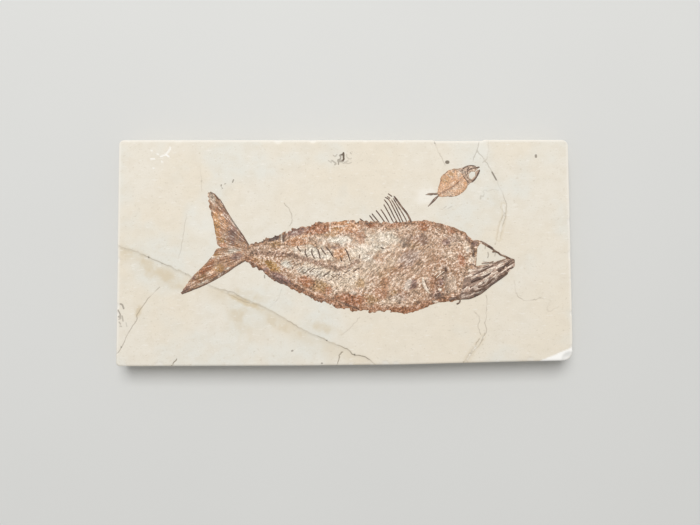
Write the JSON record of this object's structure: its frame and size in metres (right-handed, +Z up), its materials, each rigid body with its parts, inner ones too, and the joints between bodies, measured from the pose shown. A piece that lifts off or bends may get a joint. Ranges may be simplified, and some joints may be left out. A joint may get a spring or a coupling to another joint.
{
  "type": "fossil fish slab",
  "caption": "Sawn tablet of pale limestone lying flat, with a large and a small flattened fossil fish in low relief on its cracked upper face.",
  "frame": {"origin": "middle of the slab's bounding box at its underside", "axes": "+X from the large fish's tail to its snout, +Y towards the back edge where the small fish lies, +Z up through the fossil face"},
  "size_m": [0.3, 0.15, 0.0191],
  "materials": {
    "slab": "matte fine limestone, rubbed",
    "large_fish": "satin brown fossil bone",
    "small_fish": "satin light brown fossil bone"
  },
  "bodies": {
    "root": {"slab": "slab", "large_fish": "large_fish", "small_fish": "small_fish"}
  },
  "joints": []
}
